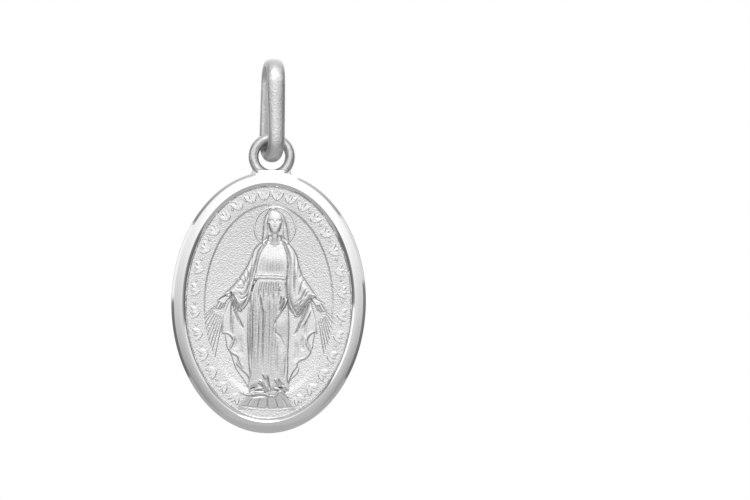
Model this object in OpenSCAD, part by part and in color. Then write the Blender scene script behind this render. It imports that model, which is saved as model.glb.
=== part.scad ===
// Oval religious medal, hung by its eyelet on a bail.
// The front faces -Y and the top is +Z. The origin is inside the top of the bail, where a chain rests.
// Faces are drawn flat, x to the right, y up and z towards the viewer, and then stood up.

/* [Oval plate] */
// Width of the oval
oval_w = 13.1; // [12.6:0.1:14]
// Height of the oval
oval_h = 17.6; // [17:0.1:18.6]
// Thickness from the flat back to the top of the rim
plate_t = 1.5; // [1.4:0.05:1.8]
// Width of the polished rim, its two bevels included
rim_w = 1.05; // [0.95:0.05:1.2]
// Drop from the top of the rim to the border
field_depth = 0.36; // [0.3:0.02:0.42]
// Further drop from the border to the dished middle
dish_depth = 0.12; // [0.06:0.02:0.16]
// Width of the border that carries the ornament
border_w = 0.95; // [0.85:0.05:1.1]

/* [Eyelet] */
// Outside diameter of the eyelet
eyelet_d = 3.15; // [3:0.05:3.4]
// Diameter of the hole that the bail passes through
hole_d = 1.8; // [1.8:0.05:1.9]
// Thickness of the eyelet, flush with the flat back
eyelet_t = 0.8; // [0.7:0.05:0.85]
// Height of the hole above the middle of the oval
eyelet_rise = 9.85; // [9.8:0.05:10.1]
// Width of the neck under the eyelet
neck_w = 2.75; // [2.5:0.05:2.9]

/* [Bail] */
// Height of the closed loop
bail_h = 7; // [6.6:0.05:7.6]
// Width of the band at the top
bail_w_top = 1.2; // [1:0.05:1.3]
// Width of the band at the bottom
bail_w_low = 1.1; // [0.9:0.05:1.1]
// Thickness of the band at the top
bail_t_top = 0.6; // [0.5:0.05:0.7]
// Thickness of the band at the bottom
bail_t_low = 0.78; // [0.7:0.02:0.8]
// Radius of the top bend, to the middle of the band
bend_top = 1.3; // [1.25:0.05:1.5]
// Radius of the bottom bend, to the middle of the band
bend_low = 1.12; // [1.1:0.02:1.2]
// Turn of the bail's top about the vertical
bail_turn = 11; // [0:1:11]
// Further turn of its bottom, since the band is a little twisted
bail_twist = 7.5; // [0:0.5:7.5]

/* [Relief] */
// Greatest height of the standing figure above the dished middle
figure_relief = 0.5; // [0.4:0.02:0.55]
// Sideways place of the figure, struck a little off centre
figure_shift = 0.25; // [0:0.05:0.3]
// Height of the border ornament
border_relief = 0.1; // [0.06:0.02:0.14]
// Number of leaf sprigs round the border
sprigs = 32; // [24:2:36]
// Height of the relief on the back
back_relief = 0.14; // [0.08:0.02:0.2]
// Reach of a star's points from its centre
star_r = 0.62; // [0.5:0.02:0.7]

/* [Hidden] */

SATIN = [0.80, 0.80, 0.79];
BRIGHT = [0.93, 0.93, 0.92];

// Depths in the face's own z, with the middle of the eyelet's thickness at zero
back_z = -eyelet_t / 2;
rim_z = back_z + plate_t;
border_z = rim_z - field_depth;
dish_z = border_z - dish_depth;

// The wire lies in the lower half of the hole, with room for its corners above it
wire_low = 0.4;
hole_z = bail_t_top - bail_h + wire_low;

function lerp(a, b, t) = a + (b - a) * t;
function clamp01(t) = min(1, max(0, t));

// A point of the oval, moved inwards along its normal
function oval_point(angle, inset) =
    let (a = oval_w / 2, b = oval_h / 2, n = [b * cos(angle), a * sin(angle)])
    [a * cos(angle), b * sin(angle)] - inset * n / norm(n);

// Closed skin through rings of equal length, each ring a list of points
module skin(rings, closed = false) {
    count = len(rings[0]);
    last = len(rings) - 1;
    walls = [
        for (r = [0 : closed ? last : last - 1], i = [0 : count - 1])
            let (j = (i + 1) % count, s = (r + 1) % len(rings))
            [r * count + i, s * count + i, s * count + j, r * count + j]
    ];
    low = [for (i = [0 : count - 1]) i];
    high = [for (i = [0 : count - 1]) last * count + count - 1 - i];
    polyhedron([for (ring = rings) each ring], closed ? walls : concat([low, high], walls), convexity = 6);
}

/* Plate and rim: columns are the inset from the oval's edge and the height */
PLATE_PROFILE = [
    [0.08, back_z],
    [0, back_z + 0.08],
    [0, rim_z - 0.3],
    [0.24, rim_z - 0.03],
    [0.34, rim_z],
    [0.72, rim_z - 0.02],
    [rim_w, border_z],
    [rim_w + border_w - 0.1, border_z],
    [rim_w + border_w + 0.25, dish_z]
];
OVAL_SIDES = 96;

module plate() {
    skin([
        for (row = PLATE_PROFILE)
            [for (i = [0 : OVAL_SIDES - 1]) let (p = oval_point(i * 360 / OVAL_SIDES, row[0])) [p.x, p.y, row[1]]]
    ]);
}

// Upright prism on the oval, for trimming what stands on the field. Its corners fall between the plate's
module oval_prism(inset) {
    translate([0, 0, back_z]) linear_extrude(2 * plate_t)
        polygon([for (i = [0 : OVAL_SIDES - 1]) oval_point((i + 0.5) * 360 / OVAL_SIDES, inset)]);
}

// Flat pad that carries the polished face of the rim a little way up the neck
PAD_W = 1.84;
PAD_TOP = 8.92;

module rim_pad() {
    low = oval_h / 2 - 0.7;
    translate([-PAD_W / 2, low, 0]) cube([PAD_W, PAD_TOP - low, rim_z - 0.05]);
}

// Section of the eyelet: columns are the share of the ring's width from the hole, and of its thickness
EYELET_SECTION = [[0, 0], [1, 0], [1, 0.5], [0.93, 0.74], [0.78, 0.92], [0.55, 1], [0.3, 0.97], [0.1, 0.84], [0, 0.68]];
// The ring's back lies this much inside the flat back, so that the two planes don't coincide
EYELET_SET = 0.02;

module eyelet_ring() {
    ring_w = (eyelet_d - hole_d) / 2;
    rotate_extrude($fn = 64)
        polygon([
            for (p = EYELET_SECTION)
                [hole_d / 2 + p[0] * ring_w, back_z + EYELET_SET + p[1] * (eyelet_t - EYELET_SET)]
        ]);
}

// Neck between the oval and the eyelet, drawn from the middle of the hole
module neck() {
    fillet = 0.3;
    half = neck_w / 2;
    shoulder = -sqrt(pow(eyelet_d / 2 - 0.02, 2) - half * half);
    oval_edge = oval_h / 2 * sqrt(1 - pow(neck_w / oval_w, 2)) - eyelet_rise;
    arc_r = hole_d / 2 + 0.25;
    right = concat(
        [[half, shoulder]],
        [for (a = [180 : 18 : 270]) [half + fillet * (1 + cos(a)), oval_edge + fillet * (1 + sin(a)) - 0.04]],
        [[half + fillet, oval_edge - 0.6]]
    );
    left = [for (i = [len(right) - 1 : -1 : 0]) [-right[i].x, right[i].y]];
    saddle = [for (a = [220 : 10 : 320]) arc_r * [cos(a), sin(a)]];
    linear_extrude(0.8 * eyelet_t) polygon(concat(right, left, saddle));
}

/* Standing figure: a height field of soft masses, in millimetres from the middle of the oval */
// Round-ended masses. Columns: x and y of one end, its half width, x and y of the other, its half width,
// and the heights of the two ends as shares of the greatest relief
MASSES = [
    // veil over the head and its two hanging edges
    [0.05, 5.35, 1.0, 0.05, 4.75, 0.95, 0.55, 0.62],
    [-0.72, 4.7, 0.32, -0.75, 3.7, 0.42, 0.6, 0.62],
    [0.85, 4.7, 0.32, 0.9, 3.7, 0.42, 0.6, 0.62],
    // head, neck and breast
    [0.07, 5.3, 0.6, 0.07, 4.9, 0.52, 0.92, 1.0],
    [0.07, 4.5, 0.36, 0.07, 3.9, 0.5, 0.72, 0.7],
    [-0.1, 3.0, 0.95, 0.25, 3.0, 0.95, 0.92, 0.92],
    // shoulders, upper arms, sleeves and hanging cuffs
    [-0.85, 3.6, 0.5, -1.35, 2.3, 0.5, 0.7, 0.68],
    [1.0, 3.6, 0.5, 1.7, 2.3, 0.5, 0.7, 0.68],
    [-1.35, 2.3, 0.48, -2.95, 0.75, 0.33, 0.7, 0.5],
    [1.7, 2.3, 0.48, 2.85, 0.8, 0.33, 0.7, 0.5],
    [-1.4, 2.0, 0.4, -1.95, -0.2, 0.36, 0.6, 0.5],
    [1.65, 2.0, 0.4, 1.6, -0.35, 0.36, 0.6, 0.5],
    [-2.0, 1.4, 0.3, -2.3, 0.0, 0.3, 0.45, 0.4],
    [2.1, 1.4, 0.3, 2.0, -0.05, 0.3, 0.45, 0.4],
    // hands, opened downwards
    [-3.1, 0.5, 0.26, -3.6, -0.2, 0.2, 0.5, 0.42],
    [3.05, 0.5, 0.26, 3.5, -0.3, 0.2, 0.5, 0.42],
    [-3.2, 0.35, 0.12, -3.2, -0.2, 0.1, 0.45, 0.36],
    [3.15, 0.35, 0.12, 3.15, -0.25, 0.1, 0.45, 0.36],
    // belt
    [-0.9, 1.78, 0.16, 0.9, 1.82, 0.16, 0.96, 0.96],
    // edge of the cloak across the skirt
    [1.15, 0.0, 0.2, 0.35, -1.4, 0.18, 0.8, 0.98],
    [0.35, -1.4, 0.18, 1.2, -3.6, 0.2, 0.98, 0.8],
    // feet and the serpent under them
    [-0.25, -6.0, 0.24, -1.5, -6.2, 0.17, 0.7, 0.5],
    [0.15, -6.0, 0.24, 0.85, -6.15, 0.17, 0.7, 0.5],
    [-1.5, -6.45, 0.13, -0.3, -6.3, 0.16, 0.42, 0.5],
    [-0.3, -6.3, 0.16, 1.1, -6.5, 0.12, 0.5, 0.42]
];
// Draped panels. Columns: x and y of the top, half width, x and y of the bottom, half width,
// height as a share of the greatest relief, number of folds across, and depth of the folds
PANELS = [
    [0, 3.7, 0.95, 0.05, 1.8, 0.98, 0.86, 3, 0.03],
    [0, 1.75, 0.98, -0.05, -0.8, 1.3, 0.84, 6, 0.07],
    [-0.05, -0.8, 1.3, -0.08, -6.0, 1.42, 0.84, 5, 0.09],
    [-1.7, 0.4, 0.7, -2.1, -3.0, 1.0, 0.2, 3, 0.04],
    [-1.8, -0.4, 0.8, -1.6, -5.9, 0.3, 0.2, 2, 0.04],
    [1.6, 0.3, 0.7, 2.0, -2.8, 0.95, 0.2, 3, 0.04],
    [1.7, -0.4, 0.8, 1.5, -5.6, 0.3, 0.2, 2, 0.04]
];
HALO = [0.07, 5.05, 1.33, 0.09];
GLOBE = [0.05, -9.45, 3.15, 0.3];
BURIED = -0.16;

function mass_height(p, m) =
    let (
        a = [m[0], m[1]],
        ab = [m[3], m[4]] - a,
        t = clamp01((p - a) * ab / (ab * ab)),
        d = norm(p - a - t * ab) / lerp(m[2], m[5], t)
    )
    lerp(m[6], m[7], t) * (1 - pow(d, 4));

function panel_height(p, m) =
    let (
        t = (m[1] - p.y) / (m[1] - m[4]),
        s = clamp01(t),
        u = (p.x - lerp(m[0], m[3], s)) / lerp(m[2], m[5], s),
        past = abs(t - s) * (m[1] - m[4])
    )
    m[6] * (1 - pow(abs(u), 6)) - m[8] * (1 - cos(360 * m[7] * u / 2)) - 3 * past;

function halo_height(p) = 0.2 * (1 - pow((norm(p - [HALO[0], HALO[1]]) - HALO[2]) / HALO[3], 2));

function globe_height(p) = 0.5 * min(1, (GLOBE[2] - norm(p - [GLOBE[0], GLOBE[1]])) / GLOBE[3]);

function relief(p) =
    let (
        solid = max([for (m = MASSES) mass_height(p, m)]),
        cloth = max([for (m = PANELS) panel_height(p, m)])
    )
    max(BURIED, figure_relief * max(solid, cloth, halo_height(p), globe_height(p)));

// Grid that the figure is drawn on: half width, lowest and highest y, and the two steps
GRID_X = 3.96;
GRID_LOW = -7.98;
GRID_HIGH = 6.72;
STEP_X = 0.19;
STEP_Y = 0.22;

// The two triangles of a cell, split along the arm on its own side of the figure
function cell(k, row, left) =
    left ? [[k, k + row, k + row + 1], [k, k + row + 1, k + 1]] : [[k, k + row, k + 1], [k + 1, k + row, k + row + 1]];

module figure() {
    nx = round(2 * GRID_X / STEP_X);
    ny = round((GRID_HIGH - GRID_LOW) / STEP_Y);
    base = dish_z - 0.4;
    function at(i, j) = [lerp(-GRID_X, GRID_X, i / nx), lerp(GRID_LOW, GRID_HIGH, j / ny)];
    top = [for (j = [0 : ny], i = [0 : nx]) let (p = at(i, j)) [p.x, p.y, dish_z + relief(p)]];
    rim = concat(
        [for (i = [0 : nx]) i],
        [for (j = [1 : ny]) j * (nx + 1) + nx],
        [for (i = [nx - 1 : -1 : 0]) ny * (nx + 1) + i],
        [for (j = [ny - 1 : -1 : 1]) j * (nx + 1)]
    );
    n = len(top);
    foot = [for (k = rim) [top[k].x, top[k].y, base]];
    polyhedron(
        concat(top, foot),
        concat(
            [for (j = [0 : ny - 1], i = [0 : nx - 1]) each cell(j * (nx + 1) + i, nx + 1, 2 * i < nx)],
            [for (k = [0 : len(rim) - 1]) let (l = (k + 1) % len(rim)) [rim[k], rim[l], n + l, n + k]],
            [[for (k = [0 : len(rim) - 1]) n + k]]
        ),
        convexity = 8
    );
}

// Fan of fine rays below one hand, side being 1 for the right and -1 for the left
RAY_TIPS = [[5.0, -1.7], [4.95, -2.35], [4.65, -2.8], [4.3, -3.15], [3.9, -3.3]];
RAY_HAND = [3.58, -0.42];
RAY_HALF = 0.04;

module rays(side) {
    for (tip = RAY_TIPS) {
        start = lerp(RAY_HAND, tip, 0.28);
        way = tip - RAY_HAND;
        across = RAY_HALF * [-way.y, way.x] / norm(way);
        translate([figure_shift, 0, dish_z - 0.1]) linear_extrude(0.1 + dish_depth + 0.05)
            polygon([for (p = [start - across, tip - across, tip + across, start + across]) [side * p.x, p.y]]);
    }
}

/* Border ornament: one sprig of two leaves and a bead, repeated round the oval */
LEAF = [[0, -0.32], [0.16, -0.12], [0.17, 0.1], [0, 0.36], [-0.13, 0.12], [-0.12, -0.1]];

module sprig() {
    linear_extrude(border_relief + 0.1) {
        for (side = [-1, 1])
            translate([side * 0.17, 0]) rotate(-side * 24) polygon(LEAF);
    }
    translate([0.62, 0, 0]) cylinder(r = 0.12, h = border_relief + 0.1, $fn = 12);
}

module border() {
    for (k = [0 : sprigs - 1]) {
        angle = 90 + (k + 0.5) * 360 / sprigs;
        p = oval_point(angle, rim_w + border_w / 2 - 0.05);
        n = p - oval_point(angle, rim_w + border_w);
        if (p.y > -oval_h * 0.37)
            translate([p.x, p.y, border_z - 0.1]) rotate(atan2(n.y, n.x) - 90) sprig();
    }
}

/* Back relief, drawn as it is read from behind */
// Columns: x and y of each star
STARS = [
    [0, 6.05], [-2.45, 4.75], [2.45, 4.75], [-3.75, 2.3], [3.75, 2.3], [-4.25, -0.45], [4.25, -0.45],
    [-3.75, -3.25], [3.75, -3.25], [-2.5, -5.4], [2.5, -5.4], [0, -7.25]
];

module star() {
    polygon([for (i = [0 : 11]) let (r = i % 2 == 0 ? star_r : star_r * 0.34) r * [sin(i * 30), cos(i * 30)]]);
}

// Straight stroke between two points, with square ends
module stroke(from, to, width) {
    way = to - from;
    across = width / 2 * [-way.y, way.x] / norm(way);
    polygon([from - across, to - across, to + across, from + across]);
}

// Cross on a bar, with a plain lozenge woven round its foot. Columns: x and y of both ends, and the width
STROKES = [
    [0.05, 4.62, 0.05, 0.02, 0.42],
    [-1.25, 3.38, 1.4, 3.38, 0.42],
    [-2.35, 0.1, 2.45, 0.1, 0.36],
    [-1.6, 0.1, 0.05, 1.85, 0.4],
    [1.7, 0.1, 0.05, 1.85, 0.4],
    [-1.6, 0.1, 0.05, -1.5, 0.4],
    [1.7, 0.1, 0.05, -1.5, 0.4]
];
// Columns: x, y and half size of each diamond that ends a stroke
DIAMONDS = [
    [0.05, 4.7, 0.36], [-1.4, 3.38, 0.34], [1.55, 3.38, 0.34], [-2.5, 0.1, 0.32], [2.6, 0.1, 0.32],
    [-1.65, 0.1, 0.34], [1.75, 0.1, 0.34], [0.05, -1.52, 0.34]
];
// Columns: x and y of each heart
HEARTS = [[-1.4, -3.4], [1.35, -3.4]];

module heart() {
    polygon([
        for (a = [0 : 20 : 340])
            [0.046 * 16 * pow(sin(a), 3),
             0.046 * (13 * cos(a) - 5 * cos(2 * a) - 2 * cos(3 * a) - cos(4 * a))]
    ]);
}

module flames() {
    for (k = [-1 : 1])
        rotate(-22 * k) polygon([[-0.16, 0.6], [0.16, 0.6], [0, k == 0 ? 1.45 : 1.25]]);
}

// Plain oval panel with a raised edge
PANEL_AT = [0, -5.65];
PANEL_SIZE = [1.9, 0.85];

module bare_panel() {
    function loop(grow) = [for (a = [0 : 15 : 345]) [(PANEL_SIZE.x + grow) * cos(a), (PANEL_SIZE.y + grow) * sin(a)]];
    difference() {
        polygon(loop(0));
        polygon(loop(-0.16));
    }
}

module back_motifs() {
    for (p = STARS) raised() translate(p) star();
    for (s = STROKES) raised() stroke([s[0], s[1]], [s[2], s[3]], s[4]);
    for (d = DIAMONDS) raised() translate([d[0], d[1]]) circle(d[2], $fn = 4);
    for (h = HEARTS) raised() translate(h) heart();
    for (h = HEARTS) raised() translate(h) flames();
    raised() translate(PANEL_AT) bare_panel();
}

module raised() {
    linear_extrude(back_relief + 0.1) children();
}

// Mirrored, so that what is drawn for a viewer behind the medal stands on its back
module back_face() {
    translate([0, 0, back_z + 0.1]) rotate([0, 180, 0]) back_motifs();
}

// The struck piece without its eyelet, as one mesh cut to the oval's width
module struck_face() {
    resize([oval_w, 0, 0]) union() {
        translate([0, -eyelet_rise, 0]) {
            plate();
            rim_pad();
            intersection() {
                translate([figure_shift, 0, 0]) figure();
                oval_prism(rim_w - 0.12);
            }
            for (side = [-1, 1]) rays(side);
            border();
            back_face();
        }
        translate([0, 0, back_z]) neck();
    }
}

module medal() {
    color(SATIN) translate([0, 0, hole_z]) rotate([90, 0, 0]) {
        struck_face();
        eyelet_ring();
    }
}

/* Bail: a closed sweep round two bends joined by straight limbs */
// Section of the band: columns are the share of its width and of its thickness, crowned on the outside
BAND_SECTION = [
    [-0.4, -0.5], [-0.5, -0.36], [-0.5, 0.08], [-0.4, 0.34], [-0.2, 0.48],
    [0.2, 0.48], [0.4, 0.34], [0.5, 0.08], [0.5, -0.36], [0.4, -0.5]
];
BEND_STEPS = 14;
LIMB_STEPS = 8;

bend_gap = bail_h - bail_t_top / 2 - bend_top - bend_low - bail_t_low / 2;
lean = asin((bend_top - bend_low) / bend_gap);
top_centre = bail_t_top / 2 - bend_top;
low_centre = top_centre - bend_gap;

// A bend's stations, each the middle of the band and the direction of its outside
function bend(centre, radius, from, to) =
    [for (i = [0 : BEND_STEPS]) let (a = lerp(from, to, i / BEND_STEPS)) [radius * [sin(a), cos(a)] + [0, centre], a]];

// Stations of a straight limb between two others
function limb(start, end, angle) =
    [for (i = [1 : LIMB_STEPS - 1]) [lerp(start, end, i / LIMB_STEPS), angle]];

// A point turned about the vertical
function turned(p, a) = [p.x * cos(a) - p.y * sin(a), p.x * sin(a) + p.y * cos(a), p.z];

module bail() {
    side = 90 + lean;
    over = bend(top_centre, bend_top, -side, side);
    under = bend(low_centre, bend_low, side, 360 - side);
    stations = concat(
        over,
        limb(over[BEND_STEPS][0], under[0][0], side),
        under,
        limb(under[BEND_STEPS][0], over[0][0], -side)
    );
    color(BRIGHT)
        skin([
            for (s = stations) let (
                down = clamp01((top_centre - s[0].y) / bend_gap),
                w = lerp(bail_w_top, bail_w_low, down),
                t = lerp(bail_t_top, bail_t_low, down),
                out = [0, sin(s[1]), cos(s[1])]
            )
            [for (p = BAND_SECTION) turned([p.x * w, s[0].x, s[0].y] + p.y * t * out, bail_turn + bail_twist * down)]
        ], closed = true);
}

bail();
medal();
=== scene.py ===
# %% [markdown]
# # An oval devotional medal on its bail
# The real thing is struck from white metal: a steel die presses the standing figure, the border
# and the back into an oval blank. The rim is then cut and polished, the eyelet on top is left as
# cast, and a flattened loop of wire, the bail, is passed through it for a chain.
# The packed CAD model gives the sizes and the joint. This script dresses it piece by piece.

# %% The packed model
import math

import bmesh
import bpy
import numpy as np
from mathutils import Matrix, Vector


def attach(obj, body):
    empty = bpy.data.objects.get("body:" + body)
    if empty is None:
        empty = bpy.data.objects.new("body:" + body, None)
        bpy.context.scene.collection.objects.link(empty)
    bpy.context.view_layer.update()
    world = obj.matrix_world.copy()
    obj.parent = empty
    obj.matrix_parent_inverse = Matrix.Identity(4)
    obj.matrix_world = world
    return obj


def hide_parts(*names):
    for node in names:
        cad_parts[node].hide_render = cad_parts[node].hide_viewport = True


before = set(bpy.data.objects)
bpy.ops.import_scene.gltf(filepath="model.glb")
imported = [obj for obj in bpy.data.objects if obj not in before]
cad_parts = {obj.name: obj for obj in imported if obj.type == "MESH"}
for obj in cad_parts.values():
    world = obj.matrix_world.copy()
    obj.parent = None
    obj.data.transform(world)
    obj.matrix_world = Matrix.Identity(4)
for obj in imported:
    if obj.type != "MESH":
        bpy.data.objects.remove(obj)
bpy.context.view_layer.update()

# %% [markdown]
# ## Working flat, in millimetres
# A medal is easiest to model as a jeweller sees it, lying face up on the bench: x to the right,
# y up the medal and z towards the eye. Blender works in metres, so each finished mesh is scaled
# by a thousandth, stood up with its face towards -Y, and set at its height under the bail.

# %% Bench places
MM = 0.001
STAND_UP = Matrix.Scale(MM, 4) @ Matrix.Rotation(math.radians(90), 4, "X")
HOLE_Z = -6.0
EYELET_RISE = 9.85
BAIL_TURN = math.radians(11)
MEDAL_PLACE = STAND_UP @ Matrix.Translation((0, HOLE_Z - EYELET_RISE, 0))
EYELET_PLACE = STAND_UP @ Matrix.Translation((0, HOLE_Z, 0))
BAIL_PLACE = Matrix.Scale(MM, 4) @ Matrix.Rotation(BAIL_TURN, 4, "Z")


def clamp(value, high=1):
    """The value, held between 0 and high."""
    return min(max(value, 0), high)


def add_object(name, data):
    """An object of that name and data, linked into the scene."""
    made = bpy.data.objects.new(name, data)
    bpy.context.scene.collection.objects.link(made)
    return made


def mesh_of(name, bm):
    """A mesh made of a bench mesh, which is used up."""
    mesh = bpy.data.meshes.new(name)
    bm.to_mesh(mesh)
    bm.free()
    return mesh


print("middle of the oval:", [round(c, 5) for c in MEDAL_PLACE.translation])

# %% [markdown]
# ## The camera
# A picture taken from far away with a long lens has almost no perspective, which is how small
# jewellery is shown. 50.6 mm of the subject fill the width of the frame, and the medal hangs a
# little askew, so the camera's up direction leans by about one degree.

# %% Camera
LENS = 200
VIEW_WIDTH = 50.625
AIM = Vector((7.09, 0, -12.18)) * MM
UP = Vector((-0.0192, 0, 0.9998))

camera_data = bpy.data.cameras.new("long_lens")
camera_data.lens = LENS
camera_data.clip_start, camera_data.clip_end = 0.005, 20
camera = add_object("camera", camera_data)
right = Vector((0, 1, 0)).cross(UP)
distance = VIEW_WIDTH * MM * LENS / camera_data.sensor_width
upright = Matrix((right, UP, (0, -1, 0))).transposed().to_4x4()
camera.matrix_world = Matrix.Translation(AIM - Vector((0, distance, 0))) @ upright
bpy.context.scene.camera = camera
bpy.context.scene.view_settings.view_transform = "Standard"
print(f"the camera stands {distance * 1000:.0f} mm in front of the medal")

# %% [markdown]
# ## Arithmetic on node sockets
# A shader is a sum on paper, so it is written as one. `Wire` wraps the output of a node and
# overloads + - and *, each of which adds a Math node. Every other node comes from `Board.node`,
# which takes the node's type, its settings and the values or wires of its inputs.

# %% Wire and board
class Wire:
    """The output of a node, on which Python's + - and * add Math nodes."""

    def __init__(self, board, socket):
        self.board, self.socket = board, socket

    def join(self, operation, first, second):
        return self.board.node("ShaderNodeMath", {"operation": operation}, {0: first, 1: second})

    def __add__(self, other):
        return self.join("ADD", self, other)

    def __sub__(self, other):
        return self.join("SUBTRACT", self, other)

    def __rsub__(self, other):
        return self.join("SUBTRACT", other, self)

    def __mul__(self, other):
        return self.join("MULTIPLY", self, other)

    __radd__ = __add__
    __rmul__ = __mul__


class Board:
    """A node tree, emptied, that nodes are laid out on."""

    def __init__(self, tree):
        self.tree = tree
        tree.nodes.clear()

    def node(self, kind, settings=None, inputs=None, output=0):
        made = self.tree.nodes.new(kind)
        for name, value in (settings or {}).items():
            setattr(made, name, value)
        for name, value in (inputs or {}).items():
            if isinstance(value, Wire):
                self.tree.links.new(value.socket, made.inputs[name])
            else:
                made.inputs[name].default_value = value
        return Wire(self, made.outputs[output]) if len(made.outputs) else made

    def ease(self, wire, start, end, low=0.0, high=1.0):
        """The wire's value from start to end, turned smoothly into low to high."""
        return self.node(
            "ShaderNodeMapRange",
            {"interpolation_type": "SMOOTHSTEP"},
            {"Value": wire, "From Min": start, "From Max": end, "To Min": low, "To Max": high},
        )


print("operators on wires:", [name for name in vars(Wire) if name.startswith("__")][1:])

# %% [markdown]
# ## A tent of white paper
# Polished metal has no colour of its own to show: it shows the room. Silver is photographed in a
# tent of white paper, open only for the lens, so that flat parts mirror white. The sides and the
# bottom of the tent are in shade, and these darker bands draw the grey lines along every bevel
# and fold. The world's brightness is a sum over the direction that a ray leaves in.
# Rays from the camera itself see clean white paper.

# %% World
SHADE, FLANK_SHADE, BACKDROP_LIGHT, CEILING_LIGHT = 0.15, 0.22, 0.75, 0.4

world = bpy.data.worlds.new("paper_tent")
world.use_nodes = True
bpy.context.scene.world = world
tent = Board(world.node_tree)
direction = tent.node("ShaderNodeTexCoord", output="Generated")
across, away, height = (
    tent.node("ShaderNodeSeparateXYZ", inputs={0: direction}, output=axis) for axis in "XYZ"
)

lens_side = tent.ease(away, -0.35, -0.9)
lens_side_light = tent.ease(height, -0.38, 0.32, 0.37, 1.07)
flanks = tent.ease(across * across, 0.03, 0.2)
backdrop = tent.ease(away, 0.4, 0.9) * tent.ease(height, -0.4, 0.2, 0.3, 1)
ceiling = tent.ease(height, 0.3, 0.9)
paper = SHADE + lens_side * (lens_side_light - FLANK_SHADE * flanks)
paper = paper + BACKDROP_LIGHT * backdrop + CEILING_LIGHT * ceiling
seen = tent.node("ShaderNodeLightPath", output="Is Camera Ray")
strength = paper * (1 - seen) + seen
shell = tent.node("ShaderNodeBackground", inputs={"Color": (1, 1, 1, 1), "Strength": strength})
tent.node("ShaderNodeOutputWorld", inputs={"Surface": shell})
print("tent nodes:", len(world.node_tree.nodes))

# %% [markdown]
# ## Lamps and floor
# Three large soft lamps stand for the lit panels of the tent: a broad one above the lens and
# weaker ones to the left and to the right. The floor is a wide pale disc far below, outside the picture.

# %% Studio
PANEL_AIM = Vector((0, 0, -0.012))
FLOOR_Z, FLOOR_R = -0.6, 1.2
FLOOR_SHADE, FLOOR_ROUGHNESS = (0.7, 0.7, 0.7, 1), 0.9


def softbox(name, place, width, radiance):
    """A square area lamp aimed at the medal, as bright as a panel of that radiance."""
    lamp = bpy.data.lights.new(name, "AREA")
    lamp.size = width
    lamp.energy = radiance * math.pi * width * width
    turn = (PANEL_AIM - Vector(place)).to_track_quat("-Z", "Y").to_matrix().to_4x4()
    add_object(name, lamp).matrix_world = Matrix.Translation(place) @ turn


softbox("panel_above", (0.02, -0.22, 0.26), 0.18, 1.3)
softbox("panel_left", (-0.30, -0.16, 0.06), 0.16, 0.8)
softbox("panel_right", (0.30, -0.16, 0.10), 0.16, 0.5)

bm = bmesh.new()
bmesh.ops.create_circle(bm, cap_ends=True, segments=96, radius=FLOOR_R)
bmesh.ops.translate(bm, vec=(0, 0, FLOOR_Z), verts=bm.verts)
studio_floor = add_object("studio_floor", mesh_of("studio_floor", bm))
floor_paper = bpy.data.materials.new("floor_paper")
floor_paper.use_nodes = True
floor_inputs = floor_paper.node_tree.nodes["Principled BSDF"].inputs
floor_inputs["Base Color"].default_value = FLOOR_SHADE
floor_inputs["Roughness"].default_value = FLOOR_ROUGHNESS
studio_floor.data.materials.append(floor_paper)

# %% [markdown]
# ## Finishes
# Every piece is the same silver, and only its surface differs. Metal in Blender is Metallic 1
# with a light base colour: Roughness says how blurred the mirror is, and a Bump node adds grain
# that is too fine to model. All patterns use Object coordinates, in metres, so a scale of 9000
# makes grains about a tenth of a millimetre wide.

# %% Silver
CLOUD_SCALE = 420
# the dark grey of tarnish and of painted shade, and how much rougher the metal goes there
TARNISH_AND_SHADE_GREY, TARNISH_BLUR = 0.3, 0.15


def grey(value):
    return (value, value, value * 0.995, 1)


def silver(name, shade, roughness, grain, grain_scale, uneven=0.05, mottle=0.04):
    """A silver finish. grain is the depth of the bump in millimetres, uneven how much the
    roughness wanders and mottle how much the colour does. Where a mesh has the darkening
    attribute, the metal there goes darker and rougher in spots: tarnish in the figure's recesses,
    a darker tone on the robe, the globe, the hems and the inside of the bail, and painted shade in
    the cuffs, round the eyelet's hole, where the eyelet's neck meets the pad and on the bail's lowest part."""
    material = bpy.data.materials.new(name)
    material.use_nodes = True
    board = Board(material.node_tree)

    def noise(**inputs):
        return board.node("ShaderNodeTexNoise", inputs={"Vector": place, **inputs}, output="Fac")

    def between(share, first, second):
        inputs = {0: share, 6: first, 7: second}
        return board.node("ShaderNodeMix", {"data_type": "RGBA"}, inputs, output=2)

    place = board.node("ShaderNodeTexCoord", output="Object")
    cloud = noise(Scale=CLOUD_SCALE, Detail=3)
    speck = noise(Scale=grain_scale, Detail=2, Roughness=0.6)
    tarnish_and_shade = board.node("ShaderNodeAttribute", {"attribute_name": "tarnish_and_shade"}, output="Fac")
    # tarnish in recesses and painted shade, in spots, mixed towards a dark grey
    tarnish_and_shade_spots = tarnish_and_shade * (0.35 + 0.45 * board.ease(speck + 0.5 * (cloud - 0.5), 0.4, 0.62))
    clean = between(cloud, grey(shade - mottle), grey(shade + mottle))
    tone = between(tarnish_and_shade_spots, clean, grey(TARNISH_AND_SHADE_GREY))
    bump = board.node("ShaderNodeBump", inputs={"Strength": 1, "Distance": grain * MM, "Height": speck})
    blur = roughness + uneven * (cloud - 0.5) + TARNISH_BLUR * tarnish_and_shade_spots
    shader = board.node(
        "ShaderNodeBsdfPrincipled",
        inputs={"Base Color": tone, "Metallic": 1, "Normal": bump, "Roughness": blur},
    )
    board.node("ShaderNodeOutputMaterial", inputs={"Surface": shader})
    return material


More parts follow.
